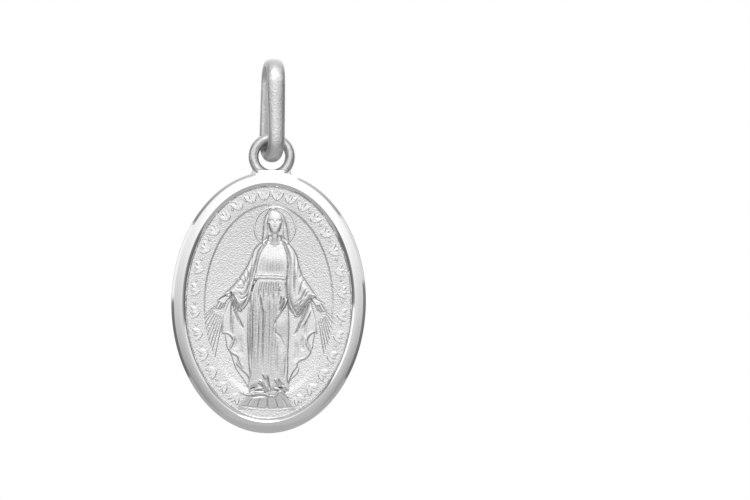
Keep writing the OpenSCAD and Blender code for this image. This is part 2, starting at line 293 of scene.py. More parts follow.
POLISHED = silver("polished_silver", 0.91, 0.1, 0.0008, 2500, uneven=0.08, mottle=0.02)
BLASTED = silver("blasted_silver", 0.87, 0.24, 0.036, 9500)
RUBBED = silver("rubbed_silver", 0.9, 0.17, 0.012, 9500)
CAST = silver("cast_silver", 0.86, 0.36, 0.035, 7000, uneven=0.2, mottle=0.1)
DRAWN = silver("drawn_silver", 0.92, 0.32, 0.045, 8000, uneven=0.2, mottle=0.12)
print("finishes:", [m.name for m in bpy.data.materials])


# %% Putting a piece in its place
def edge_users(mesh):
    """How many faces meet at each edge."""
    loops = np.zeros(len(mesh.loops), dtype=np.int32)
    mesh.loops.foreach_get("edge_index", loops)
    return np.bincount(loops, minlength=len(mesh.edges))


def set_piece(
    name, bm, material, sharp=35, place=MEDAL_PLACE, body="medal", node="medal"
):
    """Makes an object of a bench mesh, stands it in its place and lets it ride on its body."""
    bmesh.ops.recalc_face_normals(bm, faces=bm.faces)
    bmesh.ops.transform(bm, matrix=place, verts=bm.verts)
    mesh = mesh_of(name, bm)
    mesh.shade_smooth()
    mesh.set_sharp_from_angle(angle=math.radians(sharp))
    mesh.materials.append(material)
    piece = add_object(name, mesh)
    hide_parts(node)
    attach(piece, body)
    open_edges = sum(1 for face_count in edge_users(mesh) if face_count != 2)
    print(f"{name}: {len(mesh.polygons)} faces, {open_edges} open edges")


# %% [markdown]
# ## The rim
# On the real medal the rim is turned and polished: a narrow outer bevel, a broad facet that
# leans outwards by a few degrees, a rounded crest and a steep inner wall. A curve with a bevel
# profile could follow the oval, but an oval offset inwards is no longer an ellipse. Inset does
# it exactly: it moves an outline inwards by the same width all round, so the section is written
# as steps of inset and height, on a cylinder that has been scaled to the oval.

# %% Rim
OVAL = Vector((13.1, 17.6))
BACK_Z, DISH_Z, BORDER_Z, RIM_Z = -0.4, 0.66, 0.73, 1.1
RIM_W = 1.05
CREST, CREST_RUN = 0.74, 0.32
WALL_FOOT, WALL_RISE = BORDER_Z - 0.02, RIM_Z - BORDER_Z + 0.02


def wall_step(t):
    """A step of the rounded inner wall, at an angle of its arc, which starts at 30 degrees."""
    inset = CREST + CREST_RUN * (math.sin(t) - 0.5) / 0.5
    return inset, WALL_FOOT + WALL_RISE * math.cos(t) / math.cos(math.radians(30))


# Steps of the section, each an inset from the edge and a height
WALL = [wall_step(t) for t in np.radians(np.arange(36, 91, 9))]
RIM_FRONT = [(0, 0.87), (0.19, 0.985), (0.42, 1.05), (CREST, RIM_Z)] + WALL + [(1.065, 0.45)]
RIM_BACK = [(0, -0.33), (0.07, BACK_Z), (0.13, BACK_Z), (0.14, -0.2)]


def oval_drum(low, high, inset=0.0, sides=288):
    """A closed oval drum between two heights, its edge set in from the medal's."""
    bm = bmesh.new()
    bmesh.ops.create_cone(bm, cap_ends=True, segments=sides, radius1=1, radius2=1, depth=high - low)
    bmesh.ops.scale(bm, vec=(OVAL.x / 2 - inset, OVAL.y / 2 - inset, 1), verts=bm.verts)
    bmesh.ops.translate(bm, vec=(0, 0, (low + high) / 2), verts=bm.verts)
    caps = sorted((f for f in bm.faces if len(f.verts) > 4), key=lambda f: f.calc_center_median().z)
    return bm, caps[0], caps[1]


def step_in(bm, cap, section):
    """Insets a cap step by step along a section of insets and heights."""
    for (inset, z), (next_inset, next_z) in zip(section, section[1:]):
        bmesh.ops.inset_region(bm, faces=[cap], thickness=next_inset - inset, depth=0, use_even_offset=True)
        bmesh.ops.translate(bm, vec=(0, 0, next_z - z), verts=cap.verts)


def round_edges(bm, edges, offset, **options):
    """A narrow bevel in two steps along some edges."""
    bmesh.ops.bevel(
        bm, geom=edges, affect="EDGES", offset=offset, segments=2, profile=0.5, material=-1, **options
    )


bm, under, over = oval_drum(RIM_BACK[0][1], RIM_FRONT[0][1])
step_in(bm, over, RIM_FRONT)
step_in(bm, under, RIM_BACK)
inner_loops = list(over.edges) + list(under.edges)
bmesh.ops.delete(bm, geom=[over, under], context="FACES_ONLY")
bmesh.ops.bridge_loops(bm, edges=inner_loops)
steep = [e for e in bm.edges if len(e.link_faces) == 2 and e.calc_face_angle(0) > math.radians(45)]
round_edges(bm, steep, 0.02, clamp_overlap=True)
set_piece("rim", bm, POLISHED, sharp=10)

# %% [markdown]
# ## The pad under the eyelet
# The wheel that cuts the facet runs off the oval at the top, over the root of the eyelet, and
# leaves a flat tongue with a straight end. Its two lower corners are nicked where it meets the
# curve of the rim. It is a cube with its face tilted into the facet's plane.

# %% Pad
PAD_HALF, NICKED = 0.88, 0.9
PAD_FOOT, PAD_TOP = 8.2, 8.9
PAD_BOTTOM_Z = 0.1
FACET_SLOPE = (RIM_FRONT[3][1] - RIM_FRONT[1][1]) / (RIM_FRONT[3][0] - RIM_FRONT[1][0])


def facet_z(y):
    """Height of the facet's plane above the top of the medal."""
    return RIM_FRONT[1][1] + FACET_SLOPE * (OVAL.y / 2 - RIM_FRONT[1][0] - y)


def uprights(edges):
    """The edges of a unit cube that run along y."""
    return [e for e in edges if abs(e.verts[0].co.y - e.verts[1].co.y) > 0.5]


bm = bmesh.new()
bmesh.ops.create_cube(bm, size=1)
bmesh.ops.subdivide_edges(bm, edges=uprights(bm.edges), cuts=3)
for v in bm.verts:
    share = v.co.y + 0.5
    half = PAD_HALF * (1.0 if share > 0.6 else NICKED)
    y = PAD_FOOT + share * (PAD_TOP - PAD_FOOT)
    v.co = (math.copysign(half, v.co.x), y, facet_z(y) + 0.002 if v.co.z > 0 else PAD_BOTTOM_Z)
face_rim = [e for e in bm.edges if e.calc_face_angle(0) > 0.5 and min(v.co.z for v in e.verts) > 0.5]
round_edges(bm, face_rim, 0.03)
set_piece("pad", bm, POLISHED)

# %% [markdown]
# ## The struck field
# Inside the rim lies a flat border, then a soft step down into a dished middle. The die is sand
# blasted there, so the metal comes out matt and finely grained. One more oval drum, inset in
# many small steps, gives the soft slope.

# %% Field
FIELD_EDGE = 0.95
STEP_AT, STEP_W = 2.15, 0.17
SQUASH_FROM, SQUASH_OVER, SQUASH = 3.0, 3.5, 0.055
SLOPE = [(FIELD_EDGE, BORDER_Z), (STEP_AT, BORDER_Z)] + [
    (STEP_AT + STEP_W * t, BORDER_Z - (BORDER_Z - DISH_Z) * (3 * t * t - 2 * t**3))
    for t in np.linspace(0.1, 1, 10)
]

bm, under, over = oval_drum(0.2, BORDER_Z, FIELD_EDGE)
step_in(bm, over, SLOPE)
for v in bm.verts:
    low = clamp((-v.co.y - SQUASH_FROM) / SQUASH_OVER)
    sunk = math.sqrt(max(BORDER_Z - v.co.z, 0) / (BORDER_Z - DISH_Z)) * (v.co.z > 0.5)
    v.co.xy *= 1 - SQUASH * (low * sunk)
set_piece("field", bm, BLASTED, sharp=60)

# %% [markdown]
# ## A modelling tool for low relief
# A die cutter builds a figure up in wax or clay on a flat plate, and no part of it overhangs, so
# low relief is one height for every point of the plate. Sculpt mode would do it by hand. Here
# the same strokes are functions on NumPy arrays of heights, which can be changed one by one:
# `cover` lays a sheet with rounded edges, `mass` a round-ended roll, `fold` raises or cuts a
# soft line, `hollow` sinks a floor and `tone` darkens the metal, as a darker tone or as painted
# shade. Lines are written as text, a point after another as x,y in hundredths of a millimetre.
# A table of folds is such text too, its rows parted by semicolons: half width, height, negative
# where the tool cuts, perhaps the share that fades, a colon, and a line.

# %% Relief tool
BURIED = -0.12
WALL_W, WALL_SHARE = 0.07, 0.6
GROOVE_W, GROOVE_FADE = 0.1, 0.15
FOLD_FLOOR = 0.05
DARK_DEPTH, DARKEST = 0.045, 0.7


def hundredths(text, mark=None):
    """Numbers in a text, which are hundredths."""
    return [float(part) / 100 for part in text.split(mark)]


def curve(text):
    """Points of a drawn line."""
    return [tuple(hundredths(point, ",")) for point in text.split()]


def smooth_path(points, cuts=5):
    """Catmull-Rom curve through the points, cut into short straight pieces."""
    p = np.asarray(points, float)
    p = np.vstack([2 * p[0] - p[1], p, 2 * p[-1] - p[-2]])
    t = np.linspace(0, 1, cuts, endpoint=False)[:, None]
    spans = [
        0.5 * (2 * b + (c - a) * t + (2 * a - 5 * b + 4 * c - d) * t**2 + (3 * b - a - 3 * c + d) * t**3)
        for a, b, c, d in zip(p, p[1:], p[2:], p[3:])
    ]
    return np.vstack(spans + [p[-2:-1]])


class Relief:
    """Heights above the dish over a grid of points, in millimetres."""

    def __init__(self, x, y, columns):
        self.x, self.y, self.columns = x, y, columns
        self.h, self.tone_and_shade, self.folded = np.full(len(x), BURIED), np.zeros(len(x)), 0

    def nearest(self, path, reach):
        """Distance to a path and share of the way along it, for the points within reach."""
        path = np.asarray(path)
        low, high = path.min(axis=0) - reach, path.max(axis=0) + reach
        in_box = (self.x > low[0]) & (self.x < high[0]) & (self.y > low[1]) & (self.y < high[1])
        here = np.flatnonzero(in_box)
        x, y = self.x[here], self.y[here]
        near, along = np.full(len(here), 9.0), np.zeros(len(here))
        last = len(path) - 1
        for k, ((ax, ay), (bx, by)) in enumerate(zip(path, path[1:])):
            dx, dy = bx - ax, by - ay
            t = np.clip(((x - ax) * dx + (y - ay) * dy) / (dx * dx + dy * dy + 1e-12), 0, 1)
            d = np.hypot(x - ax - t * dx, y - ay - t * dy)
            closer = d < near
            near, along = np.where(closer, d, near), np.where(closer, (k + t) / last, along)
        far, share = np.full(len(self.x), 9.0), np.zeros(len(self.x))
        far[here], share[here] = near, along
        return far, share

    def within(self, outline):
        """Distance to a closed and smoothed outline, positive inside it."""
        loop = smooth_path(list(outline) + [outline[0]])
        far, _ = self.nearest(loop, 0.3)
        inside = np.zeros(len(self.x), bool)
        for (ax, ay), (bx, by) in zip(loop, loop[1:]):
            crosses = (ay > self.y) != (by > self.y)
            inside ^= crosses & (self.x < ax + (self.y - ay) * (bx - ax) / (by - ay + 1e-12))
        return np.where(inside, far, -far)

    def blend(self, raised, soft):
        """Keeps the higher of the old and the new surface, with a soft seam between them."""
        gap = np.maximum(soft - np.abs(self.h - raised), 0) / soft
        self.h = np.maximum(self.h, raised) + gap * gap * soft / 4 * (raised > BURIED)

    def cover(self, outline, top, edge, soft=0.02, line=0.0):
        """A sheet of cloth: a steep wall first, then a rounding over the width edge. With a line,
        its hem is rolled, and a groove of that depth runs inside it."""
        d = self.within(outline)
        u = 1 - np.clip(d / edge, 0, 1)
        rise = WALL_SHARE * np.clip(d / WALL_W, 0, 1) + (1 - WALL_SHARE) * np.sqrt(1 - u * u)
        past = d - edge
        fading = np.exp(-np.clip(past - GROOVE_W, 0, None) / GROOVE_FADE)
        raised = top * rise - line * np.clip(past / GROOVE_W, 0, 1) * fading
        self.blend(np.where(d > 0, raised, np.maximum(BURIED, 4 * d)), soft)

    def mass(self, path, radii, tops, soft=0.03, power=0.6):
        """A roll along a path, with the radius and the height given at even shares of it."""
        d, share = self.nearest(smooth_path(path), max(radii))
        stops = np.linspace(0, 1, len(radii))
        u = d / np.interp(share, stops, radii)
        top = np.interp(share, stops, tops)
        raised = top * np.clip(1 - u * u, 0, 1) ** power
        self.blend(np.where(u < 1, raised, np.maximum(BURIED, 0.3 * (1 - u))), soft)

    def fold(self, path, width, depth, fade=0.25):
        """A soft line, raised or, with a negative depth, cut, which fades towards its ends."""
        d, share = self.nearest(smooth_path(path), 3.5 * width)
        ends = np.clip(np.minimum(share, 1 - share) / fade, 0, 1) if fade else 1
        line = depth * np.exp(-((d / width) ** 2)) * ends
        self.h = self.h + line * np.clip(self.h / FOLD_FLOOR, 0, 1)
        self.folded += 1

    def folds(self, table):
        """Draws every row of a table of folds."""
        for row in table.split(";"):
            numbers, points = row.split(":")
            self.fold(curve(points), *hundredths(numbers))

    def hollow(self, outline, floor, edge):
        """Sinks the inside of an outline to a floor, with a slope as wide as edge."""
        depth = np.clip(self.within(outline) / edge, 0, 1)
        depth = depth * depth * (3 - 2 * depth)
        self.h = self.h * (1 - depth) + np.minimum(self.h, floor) * depth

    def tone(self, outline, amount, edge=0.3):
        """Darkens the metal inside an outline: a darker tone, or painted shade where the cuffs' openings are
        darkened.
        """
        dull = amount * np.clip(self.within(outline) / edge, 0, 1)
        self.tone_and_shade = np.maximum(self.tone_and_shade, dull)

    def recesses(self, reach=3):
        """Darkening of each point, from 0 to 1: tarnish where it lies deeper below its neighbourhood, plus
        what tone laid on, a darker tone or painted shade.
        """
        sheet = np.maximum(self.h, 0).reshape(-1, self.columns)
        soft, (high, wide), shifts = sheet, sheet.shape, range(0, 2 * reach + 1, 2)
        for _ in range(2):
            padded = np.pad(soft, reach, mode="edge")
            soft = sum(padded[i : i + high, j : j + wide] for i in shifts for j in shifts) / (reach + 1) ** 2
        depth = np.clip((soft - sheet) / DARK_DEPTH, 0, 1).ravel()
        return np.clip(DARKEST * depth + self.tone_and_shade, 0, 1)


def clay_plate(low, high, cell):
    """A flat grid between two corners, and its relief."""
    counts = [round((b - a) / cell) for a, b in zip(low, high)]
    middle = Vector(((low[0] + high[0]) / 2, (low[1] + high[1]) / 2, 0))
    bm = bmesh.new()
    bmesh.ops.create_grid(
        bm, x_segments=counts[0], y_segments=counts[1], size=0.5,
        matrix=Matrix.Translation(middle) @ Matrix.Diagonal((high[0] - low[0], high[1] - low[1], 1, 1)),
    )
    at = np.array([v.co[:2] for v in bm.verts])
    print(f"plate of {len(at)} points, {cell} mm apart")
    return bm, Relief(at[:, 0], at[:, 1], counts[0] + 1)


def harden(name, bm, relief, base, floor, place):
    """Turns the clay to metal: heights and the darkening, tarnish and painted shade, go into the grid,
    buried cells are cut away and the cut edge is drawn down to a floor and closed."""
    tarnish_and_shade = bm.verts.layers.float.new("tarnish_and_shade")
    for v, h, r in zip(bm.verts, relief.h, relief.recesses()):
        v.co.z = base + h
        v[tarnish_and_shade] = r
    buried = [v for v, h in zip(bm.verts, relief.h) if h < BURIED + 0.01]
    bmesh.ops.delete(bm, geom=buried, context="VERTS")
    bmesh.ops.delete(bm, geom=[e for e in bm.edges if e.is_wire], context="EDGES")
    bmesh.ops.delete(bm, geom=[v for v in bm.verts if not v.link_faces], context="VERTS")
    drawn = bmesh.ops.extrude_edge_only(bm, edges=[e for e in bm.edges if e.is_boundary])["geom"]
    for v in (g for g in drawn if isinstance(g, bmesh.types.BMVert)):
        v.co.z = floor
    bottom = [g for g in drawn if isinstance(g, bmesh.types.BMEdge) and g.is_boundary]
    bmesh.ops.triangle_fill(bm, edges=bottom, use_beauty=False, use_dissolve=False)
    set_piece(name, bm, RUBBED, sharp=80, place=place)


clay, figure = clay_plate((-3.85, -7.9), (4.15, 6.6), 0.0235)

# %% [markdown]
# ## The mantle behind
# The figure is modelled from the back to the front, as it would be in wax. First comes the wide
# mantle, hardly raised, with a hem that turns over itself in waves on both sides of the robe.

# %% Mantle
HEM_LEFT_UNDER = curve("""
-120,-100 -260,-160 -292,-220 -283,-275 -276,-315 -252,-350 -240,-385 -226,-425 -210,-460 -185,-495
-155,-535 -122,-585 -90,-590
""")
HEM_LEFT = curve("""
-230,40 -270,0 -286,-40 -303,-90 -311,-140 -314,-208 -286,-218 -260,-227 -245,-245 -244,-268 -255,-293
-268,-320 -252,-346 -224,-360 -202,-376 -200,-397 -213,-417 -185,-450 -140,-490 -90,-520 -90,40
""")
HEM_RIGHT_UNDER = curve("""
120,-100 290,-160 314,-215 308,-260 302,-305 260,-340 200,-400 206,-430 215,-443 210,-466 195,-488
173,-508 152,-536 140,-585 100,-590
""")
HEM_RIGHT = curve("""
250,40 288,5 302,-40 318,-90 327,-140 334,-205 310,-198 292,-210 278,-227 270,-248 276,-272 290,-295
297,-310 295,-332 284,-352 264,-375 240,-387 218,-395 207,-410 204,-428 180,-460 120,-520 100,40
""")
MANTLE_FOLDS = """
6 -9: -255,0 -240,-30 -225,-65 -210,-100 -195,-135 -165,-185;
6 5: -240,0 -215,-60 -185,-120 -160,-170;
5 -7: -248,-10 -250,-60 -250,-130 -246,-225;
6 3: -240,-60 -238,-130 -236,-220;
5 3: -300,-40 -305,-130 -304,-200;
5 4: -295,-202 -265,-212 -242,-228 -232,-255 -242,-290 -255,-318 -240,-338 -210,-355 -190,-376 -190,-398
-198,-415;
10 -3: -230,-230 -215,-280 -220,-320;
14 -3: -190,-220 -185,-300 -172,-370;
8 3: -205,-370 -180,-410 -160,-450;
6 -9: 275,-5 260,-40 240,-90 220,-130 200,-180 175,-220;
6 6: 260,-15 245,-60 225,-100 200,-145;
6 5: 285,-30 270,-80 250,-120 220,-170;
8 -3: 260,-90 255,-160 250,-230;
5 3: 320,-100 323,-150 324,-195;
5 4: 320,-195 298,-195 275,-212 260,-240 262,-275 280,-305 280,-335 255,-365 220,-380 198,-402 195,-420;
10 -3: 235,-220 230,-280 240,-320;
14 -3: 190,-260 195,-330 185,-400
"""
for outline in (HEM_LEFT_UNDER, HEM_RIGHT_UNDER):
    figure.cover(outline, 0.1, 0.05, soft=0.01)
for outline in (HEM_LEFT, HEM_RIGHT):
    figure.cover(outline, 0.21, 0.07, soft=0.005)
figure.folds(MANTLE_FOLDS)
print(f"mantle up to {figure.h.max():.2f} mm, {figure.folded} folds")

# %% [markdown]
# ## Globe, robe and sleeves
# The robe is a tall sheet with a broad rounded edge, and the sleeves hang from the shoulders
# past the wrists. Their outlines are drawn as closed curves. Broad edges make them barrel
# shaped, so that they catch the light along the middle.

# %% Large forms
GLOBE = curve("""
-260,-760 -210,-715 -188,-685 -155,-650 -130,-620 -90,-590 90,-590 130,-620 150,-650 185,-685 205,-710
250,-760 120,-788 0,-790 -120,-788
""")
ROBE = curve("""
-78,170 112,170 124,100 130,20 142,-60 147,-200 143,-320 144,-440 142,-520 150,-595 90,-570 50,-595
-20,-600 -90,-575 -128,-595 -122,-500 -130,-420 -136,-320 -142,-240 -142,-70 -130,10 -110,100
""")
TORSO = curve("""
-55,400 -98,300 -100,200 -105,145 135,145 140,210 145,300 115,395 30,435
""")
SLEEVE_LEFT = curve("""
-30,435 -62,415 -85,396 -108,370 -122,340 -134,308 -150,270 -168,235 -188,200 -210,170 -235,137 -260,107
-295,74 -310,58 -290,34 -266,30 -250,2 -233,-25 -210,-50 -190,-66 -174,-54 -156,-36 -138,-8 -124,30
-112,90 -98,150 -82,220 -66,290 -50,340 -28,375 -10,405
""")
SLEEVE_RIGHT = curve("""
100,435 133,410 152,393 170,371 186,345 196,320 203,290 211,255 221,225 232,200 246,176 263,152 286,120
303,94 322,68 330,55 305,30 286,10 268,-12 250,-42 230,-70 210,-90 190,-96 172,-84 158,-62 142,-34 128,0
116,60 108,130 110,200 114,260 108,320 95,370 80,405
""")
GLOBE_BRIM = -5.95

figure.cover(GLOBE, 0.2, 0.09)
globe_top = np.clip((figure.y + 8.1) / 2.0, 0.1, 1) ** 1.2
figure.h = np.where((figure.h > 0) & (figure.y < GLOBE_BRIM), figure.h * globe_top, figure.h)
for bow in (-1.5, -0.75, 0.0, 0.75, 1.5):
    figure.fold([(0.6 * bow + 0.05, -6.35), (0.85 * bow + 0.05, -6.9), (bow + 0.05, -7.6)], 0.035, -0.03)
figure.fold(curve("-175,-700 -80,-712 5,-716 90,-712 180,-700"), 0.035, -0.03, fade=0.1)
figure.cover(ROBE, 0.32, 0.42)
figure.cover(TORSO, 0.31, 0.3)
figure.fold(curve("15,285 32,287 50,285"), 0.7, 0.08, fade=0)
figure.cover(SLEEVE_LEFT, 0.38, 0.08, soft=0.004, line=0.11)
figure.cover(SLEEVE_RIGHT, 0.38, 0.08, soft=0.004, line=0.09)
for outline, amount in ((ROBE, 0.42), (GLOBE, 0.3), (HEM_LEFT, 0.2), (HEM_RIGHT, 0.2)):
    figure.tone(outline, amount)
ARMS = """
30 4 30: -110,320 -150,210 -220,100 -270,60;
30 4 30: 160,320 185,210 240,100 290,60
"""
figure.folds(ARMS)
print(f"large forms up to {figure.h.max():.2f} mm")

# %% [markdown]
# ## Pleats, cuffs and belt
# The small forms make the drawing: tables of folds, and rows of pleats that a loop can draw.
# The cuffs are hollowed, and darkened inside with painted shade, so the sleeves look open.

# %% Small forms
ROBE_FOLDS = """
5 -7: -125,50 -122,-40 -122,-160 -120,-270 -115,-350 -108,-460;
4 4: -134,-30 -133,-150 -130,-280 -125,-380;
4 3: -110,60 -111,-60 -110,-220 -106,-360;
4 -4: -86,150 -93,90 -99,20 -100,-80 -100,-220 -98,-360 -95,-480;
4.5 -6: -55,95 -60,50 -50,-10 -40,-60 -36,-140 -34,-240 -30,-360 -30,-460;
5 2: -45,90 -48,40 -38,-10 -28,-70 -25,-160 -22,-300;
10 2.5: -78,100 -80,-50 -76,-200 -74,-360 -70,-500;
5 -2: -62,-120 -58,-260 -55,-440;
6 -3: 8,40 4,-60 5,-200 2,-340 -2,-480;
10 2: 28,-60 26,-200 30,-340 25,-490;
7 -3: 62,-260 60,-360 62,-490;
14 2: 92,-300 95,-380 95,-500;
5 -2.5: 122,-360 122,-430 115,-520
"""
CLOAK_FOLDS = """
5.5 7: 98,55 93,20 86,-10 75,-40;
4 -6: 86,45 82,10 73,-25;
6 9: 124,30 113,-5 98,-35 80,-62;
4.5 -7: 108,30 100,-5 86,-35 68,-60;
4 -3.5: 122,-28 100,-50 80,-80 60,-110 45,-140 40,-170;
8 -1.8: 40,-160 46,-195 65,-215 85,-235 115,-300 145,-350;
5 4: 75,120 72,95 85,85;
34 3 40: 115,-80 95,-150 105,-230
"""
WAIST, WAIST_PLEATS = 1.5, (-0.72, -0.55, -0.4, -0.26, -0.12, 0.02, 0.16, 0.3, 0.45, 0.6)

figure.folds(ROBE_FOLDS)
for k, x in enumerate(np.arange(-0.92, 0.62, 0.14)):
    pleat = [(x, 0.9 - 0.5 * (k % 3)), (x + 0.03, -1.5), (x, -4.6 + 0.4 * (k % 2))]
    figure.fold(pleat, 0.035, -0.022)
for k, x in enumerate(WAIST_PLEATS):
    lean = 0.16 * (x - 0.2)
    length = (1.0, 1.35, 1.1, 1.5)[k % 4]
    pleat = [(x, WAIST), (x + lean, WAIST - length / 2), (x + lean, WAIST - length)]
    figure.fold(pleat, 0.033, -0.035)
figure.folds(CLOAK_FOLDS)
print("folds so far:", figure.folded)

# %% Sleeves and belt
CUFF_LEFT = curve("""
-256,74 -240,50 -223,15 -206,-17 -186,-42 -193,-52 -213,-36 -232,-10 -248,20 -266,45
""")
CUFF_RIGHT = curve("""
295,40 262,25 238,-12 214,-45 186,-74 197,-82 220,-65 244,-35 262,-5 287,14
""")
SHOULDER_FOLDS_LEFT = """
3.5 -6: -45,380 -60,350 -74,310 -84,270 -92,230 -102,180 -114,130 -124,80 -130,30;
6 2: -85,330 -97,270 -105,210 -118,150;
3.2 -6: -100,360 -113,320 -118,270 -120,220 -126,160 -134,100;
3.2 -6: -168,232 -155,220 -144,200 -140,170 -142,140
"""
ELBOW_FOLDS_LEFT = """
3.4 -7.5: -192,196 -176,184 -164,164 -157,140 -158,115;
3.4 -7.5: -216,152 -195,153 -180,144 -168,122 -162,98;
4 -5: -220,97 -200,90 -180,90 -166,98;
10 2: -230,122 -205,122 -185,115;
3.8 -10: -202,66 -182,50 -164,56 -150,74 -141,98 -136,120;
5 -3: -200,32 -180,20 -160,30 -148,45;
3.5 5: -250,2 -233,-22 -210,-48 -190,-60 -175,-50;
3.5 -5: -162,-34 -146,-12 -134,15;
6 3: -230,50 -212,12 -192,-18
"""
SLEEVE_FOLDS_RIGHT = """
3.3 -6.5: 95,400 110,370 124,330 135,300 140,270 140,220 134,160 136,100;
4 -5.5: 162,360 170,320 172,260 171,200 170,140 172,80 176,30;
6 2.5: 184,320 187,260 185,200 182,160;
7 2: 154,330 157,250 152,160 152,80;
4 -6: 195,234 197,227;
3.3 -7: 205,164 210,182 224,190 240,180;
3.4 -8: 250,154 232,150 220,130 212,100 206,70 196,45;
3.6 -8.5: 258,100 242,80 228,50 214,28 196,12 178,-8;
5 -3.5: 270,78 255,60 245,35;
5 5: 208,10 190,-6 176,-20;
3.3 -7.5: 230,22 205,-10 184,-36;
5 5: 224,-2 206,-22 190,-42;
3.5 5: 266,-8 248,-38 230,-62 210,-84;
4.5 -6: 138,-20 150,-48 168,-70 186,-80
"""
BELT_UPPER = curve("""
-82,192 -30,195 30,195 75,192 104,186 103,174 60,178 20,181 -30,180 -83,177
""")
BELT_LOWER = curve("""
-86,172 -30,174 20,176 60,172 104,168 104,150 60,153 20,157 -30,158 -88,156
""")
CHEST_FOOT = 2.0
CHEST_PLEATS = [
    (-0.62, -0.02, 3.1), (-0.42, -0.04, 3.3), (-0.18, 0.0, 3.9), (0.04, 0.0, 3.85),
    (0.24, 0.0, 3.9), (0.45, 0.0, 3.85), (0.66, 0.02, 3.9), (0.86, 0.03, 3.3),
]

for outline in (CUFF_LEFT, CUFF_RIGHT):
    figure.hollow(outline, 0.12, 0.05)
    # painted shade: the inside of each cuff is darkened, so the opening looks deep
    figure.tone(outline, 0.7, 0.08)
for table in (SHOULDER_FOLDS_LEFT, ELBOW_FOLDS_LEFT, SLEEVE_FOLDS_RIGHT):
    figure.folds(table)
for x, lean, high in CHEST_PLEATS:
    pleat = [(x + lean, CHEST_FOOT), (x, CHEST_FOOT + 0.4), (0.75 * x + 0.08, high)]
    figure.fold(pleat, 0.045, -0.014, fade=0.15)
figure.cover(BELT_UPPER, 0.41, 0.06, soft=0.004)
figure.cover(BELT_LOWER, 0.4, 0.06, soft=0.004)
figure.fold(curve("40,168 60,160 85,158 102,160"), 0.03, -0.04)
print("folds so far:", figure.folded)

# %% [markdown]
# ## Hands, feet and serpent
# The hands are turned down and out, palms forward. A hand this small is one outline, with cuts
# between its fingers and a cut and a ridge where the thumb lies. The feet stand on a serpent,
# which is one long roll on the globe.

# %% Hands and feet
HAND_LEFT = curve("""
-250,72 -295,64 -325,42 -352,12 -347,-2 -360,-18 -368,-36 -360,-42 -350,-52 -338,-50 -325,-55 -312,-45
-298,-42 -288,-15 -275,10 -250,35
""")
HAND_RIGHT = curve("""
275,72 312,68 345,40 380,10 376,-2 388,-20 397,-42 388,-52 376,-58 364,-56 350,-62 336,-52 324,-48
312,-20 298,5 280,30
""")
HAND_FOLDS = """
3 -11 10: -330,2 -342,-16 -355,-42;
3 -11 10: -315,-8 -325,-28 -337,-52;
3 -11 10: -300,-10 -308,-26 -318,-50;
3 -11 10: 352,0 368,-22 382,-52;
3 -11 10: 338,-10 350,-32 362,-58;
3 -11 10: 324,-12 332,-30 342,-56;
3.5 -13 10: -278,50 -300,36 -318,27 -346,6;
3.5 -11 15: 308,42 325,30 345,19 374,2;
5 5 10: -270,62 -300,48 -330,26 -346,12;
5 5 10: 295,62 325,44 355,26 374,10
"""
FOOT_LEFT = curve("""
-35,-572 -75,-580 -115,-595
""")
FOOT_RIGHT = curve("""
55,-575 85,-582 110,-595
""")
SERPENT = curve("""
-168,-610 -135,-620 -95,-618 -50,-610 -10,-614 25,-628 55,-622 75,-602 102,-598 120,-614 142,-632
162,-642
""")
SERPENT_HEAD = curve("""
-172,-608 -158,-614
""")
FOOT_FOLDS = """
5 8: -55,-522 -32,-535 -20,-560 -10,-585 5,-602;
5 5: -32,-475 -20,-495 -12,-520;
5 -8: -65,-545 -45,-555 -32,-575;
4 -9: -80,-593 -50,-590 -20,-592 0,-606;
6 -6: 2,-490 8,-540 20,-590;
5 8: 50,-508 66,-532 92,-558 120,-570;
5 -7: 72,-510 92,-542 116,-556;
3.5 -8: 58,-586 88,-586 112,-598 130,-615;
5 -5: -110,-640 -60,-633 0,-630
"""
for outline in (HAND_LEFT, HAND_RIGHT):
    figure.cover(outline, 0.28, 0.1, soft=0.004)
figure.folds(HAND_FOLDS)
figure.mass(FOOT_LEFT, [0.14, 0.13, 0.1], [0.34, 0.32, 0.24], soft=0.01)
figure.mass(FOOT_RIGHT, [0.13, 0.13, 0.1], [0.34, 0.32, 0.24], soft=0.01)
figure.mass(SERPENT, [0.12, 0.12, 0.12, 0.1, 0.06], [0.3, 0.32, 0.32, 0.3, 0.24], soft=0.005)
figure.mass(SERPENT_HEAD, [0.12, 0.13], [0.32, 0.32], soft=0.01)
figure.folds(FOOT_FOLDS)
print(f"serpent of {len(SERPENT)} points, folds so far: {figure.folded}")

# %% [markdown]
# ## Veil, hair and face
# The head is 1.6 mm high, and its face stands about a tenth of a millimetre above the hood's
# floor. It is a plain face, laid out on the proportions that drawing books give: the eyes half way
# down the head, and equal thirds from hairline to brow, from brow to nose and from nose to chin.

# %% Head
VEIL = curve("""
-60,414 -57,450 -54,495 -50,550 -38,594 -17,620 20,638 59,621 92,597 113,555 126,507 132,460 138,420
130,397 108,388 95,408 35,412 -20,408 -30,384 -50,388
""")
HOOD = curve("""
-20,395 -27,440 -28,490 -27,545 -12,588 33,616 78,588 95,545 100,490 100,440 92,395 35,388
""")
NECKLINE = curve("""
-10,380 -20,420 -20,450 35,460 90,450 90,420 80,380
""")
CHIN, CROWN, MIDDLE = 4.66, 6.3, 0.33
HAIRLINE = CHIN + 0.86 * (CROWN - CHIN)
BROW = CHIN + 2 / 3 * (HAIRLINE - CHIN)
NOSE = CHIN + 1 / 3 * (HAIRLINE - CHIN)
EYES = (CHIN + CROWN) / 2
MOUTH = NOSE - (NOSE - CHIN) / 3
FACE_HALF = (CROWN - CHIN) / 3.05


def feature(x, y, side, points, *numbers):
    """A fold of the face, drawn from a point outwards to one side."""
    figure.fold([(x + side * dx, y + dy) for dx, dy in curve(points)], *numbers)


